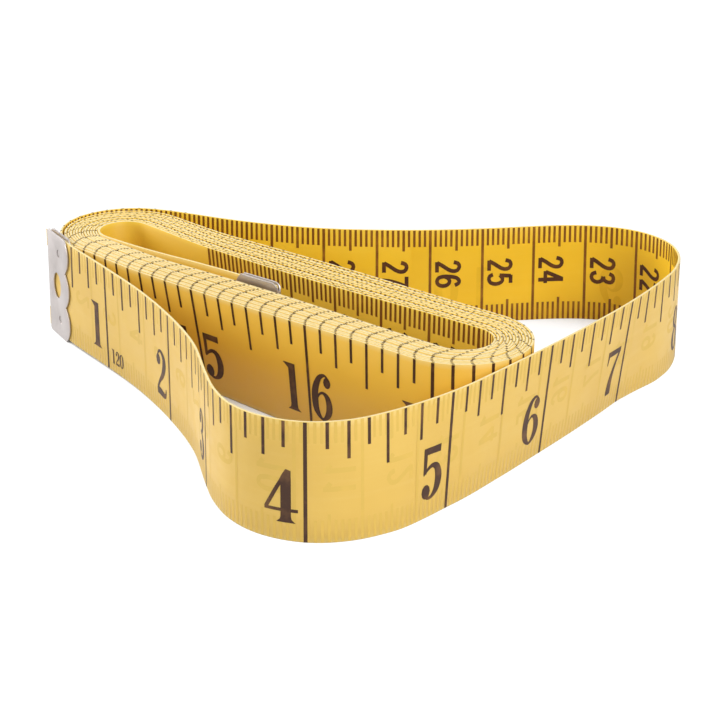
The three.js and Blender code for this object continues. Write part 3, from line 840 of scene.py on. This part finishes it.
def draw_leaf(bm):
    corner = [(x, corner_cut(x)) for x in np.linspace(0, CLIP_CORNER - CLIP_FOLD, CORNER_POINTS)]
    lobed = []
    for lobe in range(LOBES):
        for share in np.linspace(0, 1, LOBE_POINTS)[int(lobe > 0):]:
            bulge = 4 * LOBE_DEPTH * share * (1 - share)
            lobed.append((CLIP_LENGTH - LOBE_DEPTH + bulge, CLIP_HEIGHT * (lobe + share) / LOBES))
    outline = corner + lobed + [(x, CLIP_HEIGHT - cut) for x, cut in reversed(corner)]
    verts = [bm.verts.new((*point, 0)) for point in outline]
    for first_vert, second_vert in zip(verts, verts[1:] + verts[:1]):
        bm.edges.new((first_vert, second_vert))
    bmesh.ops.create_circle(bm, segments=HOLE_POINTS, radius=0.5, matrix=(
        Matrix.Translation((HOLE_AT, CLIP_HEIGHT / 2, 0))
        @ Matrix.Diagonal((HOLE_LENGTH, HOLE_HEIGHT, 1, 1))))
    dimples = [Matrix.Translation((DIMPLE_AT, height, 0))
               for height in (DIMPLE_FROM_EDGE, CLIP_HEIGHT - DIMPLE_FROM_EDGE)]
    for place in dimples:
        bmesh.ops.create_circle(bm, segments=DIMPLE_POINTS, radius=DIMPLE_RADIUS, matrix=place)
    bmesh.ops.triangle_fill(bm, use_beauty=True, edges=bm.edges[:])
    for place in dimples:
        dish = bmesh.ops.create_circle(bm, segments=DIMPLE_POINTS, radius=DIMPLE_RADIUS,
                                       cap_ends=True, matrix=place)
        dented = list({face for vert in dish["verts"] for face in vert.link_faces})
        for sink in DIMPLE_SINKS:
            bmesh.ops.inset_region(bm, faces=dented, thickness=DIMPLE_RING,
                                   depth=-sink * DIMPLE_DEPTH)
    bmesh.ops.rotate(bm, verts=bm.verts, matrix=Matrix.Rotation(math.pi / 2, 3, "X"))
    bmesh.ops.translate(bm, verts=bm.verts, vec=(0, -CLIP_FOLD, 0))


def folded_clip(name, body, node, place):
    bm = bmesh.new()
    draw_leaf(bm)
    fold_edge = [edge for edge in bm.edges if all(abs(vert.co.x) < TOUCHING for vert in edge.verts)]
    second_leaf = bmesh.ops.duplicate(bm, geom=bm.verts[:] + bm.edges[:] + bm.faces[:])["geom"]
    second_verts = [item for item in second_leaf if isinstance(item, bmesh.types.BMVert)]
    bmesh.ops.scale(bm, vec=(1, -1, 1), verts=second_verts)
    bmesh.ops.spin(bm, geom=fold_edge + list(fold_edge[0].verts), cent=(0, 0, 0), axis=(0, 0, 1),
                   angle=-math.pi, steps=FOLD_STEPS)
    for vert in bm.verts:
        if vert.co.x < -TOUCHING:
            cut = corner_cut(vert.co.x)
            vert.co.z = cut if vert.co.z < CLIP_HEIGHT / 2 else CLIP_HEIGHT - cut
    bmesh.ops.remove_doubles(bm, verts=bm.verts, dist=WELD)
    bmesh.ops.recalc_face_normals(bm, faces=bm.faces)
    outside = max(bm.faces, key=lambda face: -face.calc_center_median().y)
    if outside.normal.y > 0:
        bmesh.ops.reverse_faces(bm, faces=bm.faces)
    bm.transform(place @ Matrix.Translation((0, 0, -CLIP_OVERHANG)))
    clip = new_piece(name, bm, (steel,), sharp_angle=35)
    sheet = clip.modifiers.new("sheet", "SOLIDIFY")
    sheet.thickness = CLIP_SHEET
    sheet.offset = -1
    rim = clip.modifiers.new("rim", "BEVEL")
    rim.width = RIM_ROUNDING
    rim.segments = 2
    rim.angle_limit = math.radians(50)
    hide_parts(node)
    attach(clip, body)


steel, steel_nodes, steel_links = new_material("plated_steel")
steel_place = steel_nodes.new("ShaderNodeTexCoord").outputs["Object"]
steel_shader = steel_nodes["Principled BSDF"]
dulling = add_noise(steel_nodes, steel_links, steel_place, scale=260, detail=4)
dulled = add_range(steel_nodes, steel_links, dulling, span=(0.35, 0.7))
steel_links.new(add_blend(steel_nodes, steel_links, dulled, STEEL, STEEL_DULL),
                steel_shader.inputs["Base Color"])
brushing = add_noise(steel_nodes, steel_links, steel_place, scale=9000, detail=3,
                     stretch=(1, 1, 0.03))
steel_links.new(add_range(steel_nodes, steel_links, brushing, span=(0.3, 0.7), gives=(0.40, 0.52)),
                steel_shader.inputs["Roughness"])
steel_shader.inputs["Metallic"].default_value = STEEL_METALLIC
folded_clip("outer_clip", "end_run", "outer_end_clip", Matrix.Identity(4))
folded_clip("inner_clip", "coil", "inner_end_clip",
            Matrix.Translation((LENGTH + SLACK, 0, 0)) @ Matrix.Rotation(math.pi, 4, "Z"))

# The studio: a white floor that fades into a white background, a broad soft lamp on either side of
# the object, and a surround that dims upwards. The camera stands where the photograph's did.
CAMERA_AT = (0.19767, -0.23507, 0.12941)
CAMERA_TURN, CAMERA_PITCH = math.radians(38.70), math.radians(22.663)
CAMERA_ROLL = math.radians(0.927)
PICTURE_SIDE, FOCAL_PIXELS = 720, 1840.09
SENSOR_WIDTH, NEAREST_SEEN = 36, 0.01
FLOOR_HALF, FLOOR_TONE = 3, 0.7
FLOOR_ROUGHNESS, FLOOR_SHINE = 0.9, 0.1
FLOOR_GLOW = 1.2
# Glow share where the floor is closed in and where it is open: ambient occlusion paints contact shade.
GLOW_CLOSED_IN, GLOW_OPEN = 0.05, 0.8
GLOW_REACH = 40 * MM
AO_CLOSED_IN, AO_OPEN = 0.22, 0.5
SURROUND_LOW, SURROUND_HIGH = 0.72, 0.36
WHITE = (1, 1, 1, 1)
LAMP_SIDE = 0.8
LAMP_AIM = Vector((0, 0, 0.01))
RIGHT_LAMP_AT, RIGHT_LAMP_POWER = (0.95, -0.15, 0.80), 11
LEFT_LAMP_AT, LEFT_LAMP_POWER = (-1.05, -0.30, 0.60), 14

camera_data = bpy.data.cameras.new("camera")
camera_data.sensor_width = SENSOR_WIDTH
camera_data.lens = FOCAL_PIXELS / PICTURE_SIDE * SENSOR_WIDTH
camera_data.clip_start = NEAREST_SEEN
camera = bpy.data.objects.new("camera", camera_data)
bpy.context.collection.objects.link(camera)
camera.matrix_world = (Matrix.Translation(CAMERA_AT) @ Matrix.Rotation(CAMERA_TURN, 4, "Z")
                       @ Matrix.Rotation(math.pi / 2 - CAMERA_PITCH, 4, "X")
                       @ Matrix.Rotation(CAMERA_ROLL, 4, "Z"))
bpy.context.scene.camera = camera
bpy.context.scene.view_settings.view_transform = "Standard"


def seen_rays(nodes, links):
    rays = nodes.new("ShaderNodeLightPath")
    seen = rays.outputs["Is Camera Ray"]
    for ray in ("Is Glossy Ray", "Is Transmission Ray"):
        either = nodes.new("ShaderNodeMath")
        either.operation = "MAXIMUM"
        links.new(seen, either.inputs[0])
        links.new(rays.outputs[ray], either.inputs[1])
        seen = either.outputs["Value"]
    return seen


def mix_surfaces(nodes, links, share, first, second, output):
    mix = nodes.new("ShaderNodeMixShader")
    for socket, source in zip(mix.inputs, (share, first, second)):
        links.new(source, socket)
    links.new(mix.outputs["Shader"], nodes[output].inputs["Surface"])


floor_bm = bmesh.new()
bmesh.ops.create_grid(floor_bm, x_segments=1, y_segments=1, size=FLOOR_HALF)
floor_mesh = bpy.data.meshes.new("floor")
floor_bm.to_mesh(floor_mesh)
floor_bm.free()
floor = bpy.data.objects.new("floor", floor_mesh)
bpy.context.collection.objects.link(floor)
floor_white, floor_nodes, floor_links = new_material("floor_white")
floor_mesh.materials.append(floor_white)
floor_shader = floor_nodes["Principled BSDF"]
floor_shader.inputs["Base Color"].default_value = (FLOOR_TONE, FLOOR_TONE, FLOOR_TONE, 1)
floor_shader.inputs["Roughness"].default_value = FLOOR_ROUGHNESS
floor_shader.inputs["Specular IOR Level"].default_value = FLOOR_SHINE
glow = floor_nodes.new("ShaderNodeEmission")
glow.inputs["Strength"].default_value = FLOOR_GLOW
# Ambient occlusion dims the floor's glow next to the strip and inside the loop: painted contact shade.
painted_shade_occlusion = floor_nodes.new("ShaderNodeAmbientOcclusion")
painted_shade_occlusion.inputs["Distance"].default_value = GLOW_REACH
glow_share = floor_nodes.new("ShaderNodeMath")
glow_share.operation = "MULTIPLY"
floor_links.new(seen_rays(floor_nodes, floor_links), glow_share.inputs[0])
glow_with_painted_shade = add_range(floor_nodes, floor_links, painted_shade_occlusion.outputs["AO"],
                       span=(AO_CLOSED_IN, AO_OPEN), gives=(GLOW_CLOSED_IN, GLOW_OPEN))
floor_links.new(glow_with_painted_shade, glow_share.inputs[1])
mix_surfaces(floor_nodes, floor_links, glow_share.outputs["Value"], floor_shader.outputs["BSDF"],
             glow.outputs["Emission"], "Material Output")

world = bpy.data.worlds.new("surround")
bpy.context.scene.world = world
world.use_nodes = True
world_nodes, world_links = world.node_tree.nodes, world.node_tree.links
surround = world_nodes["Background"]
surround.inputs["Color"].default_value = WHITE
sky_place = world_nodes.new("ShaderNodeSeparateXYZ")
sky = world_nodes.new("ShaderNodeTexCoord").outputs["Generated"]
world_links.new(sky, sky_place.inputs["Vector"])
world_links.new(add_range(world_nodes, world_links, sky_place.outputs["Z"], span=(0, 1),
                          gives=(SURROUND_LOW, SURROUND_HIGH)), surround.inputs["Strength"])
backdrop = world_nodes.new("ShaderNodeBackground")
backdrop.inputs["Color"].default_value = WHITE
mix_surfaces(world_nodes, world_links, seen_rays(world_nodes, world_links),
             surround.outputs["Background"], backdrop.outputs["Background"], "World Output")


def soft_lamp(name, place, power):
    lamp_data = bpy.data.lights.new(name, "AREA")
    lamp_data.shape = "SQUARE"
    lamp_data.size = LAMP_SIDE
    lamp_data.energy = power
    lamp = bpy.data.objects.new(name, lamp_data)
    bpy.context.collection.objects.link(lamp)
    lamp.location = place
    lamp.rotation_euler = (LAMP_AIM - Vector(place)).to_track_quat("-Z", "Y").to_euler()


soft_lamp("right_lamp", RIGHT_LAMP_AT, RIGHT_LAMP_POWER)
soft_lamp("left_lamp", LEFT_LAMP_AT, LEFT_LAMP_POWER)
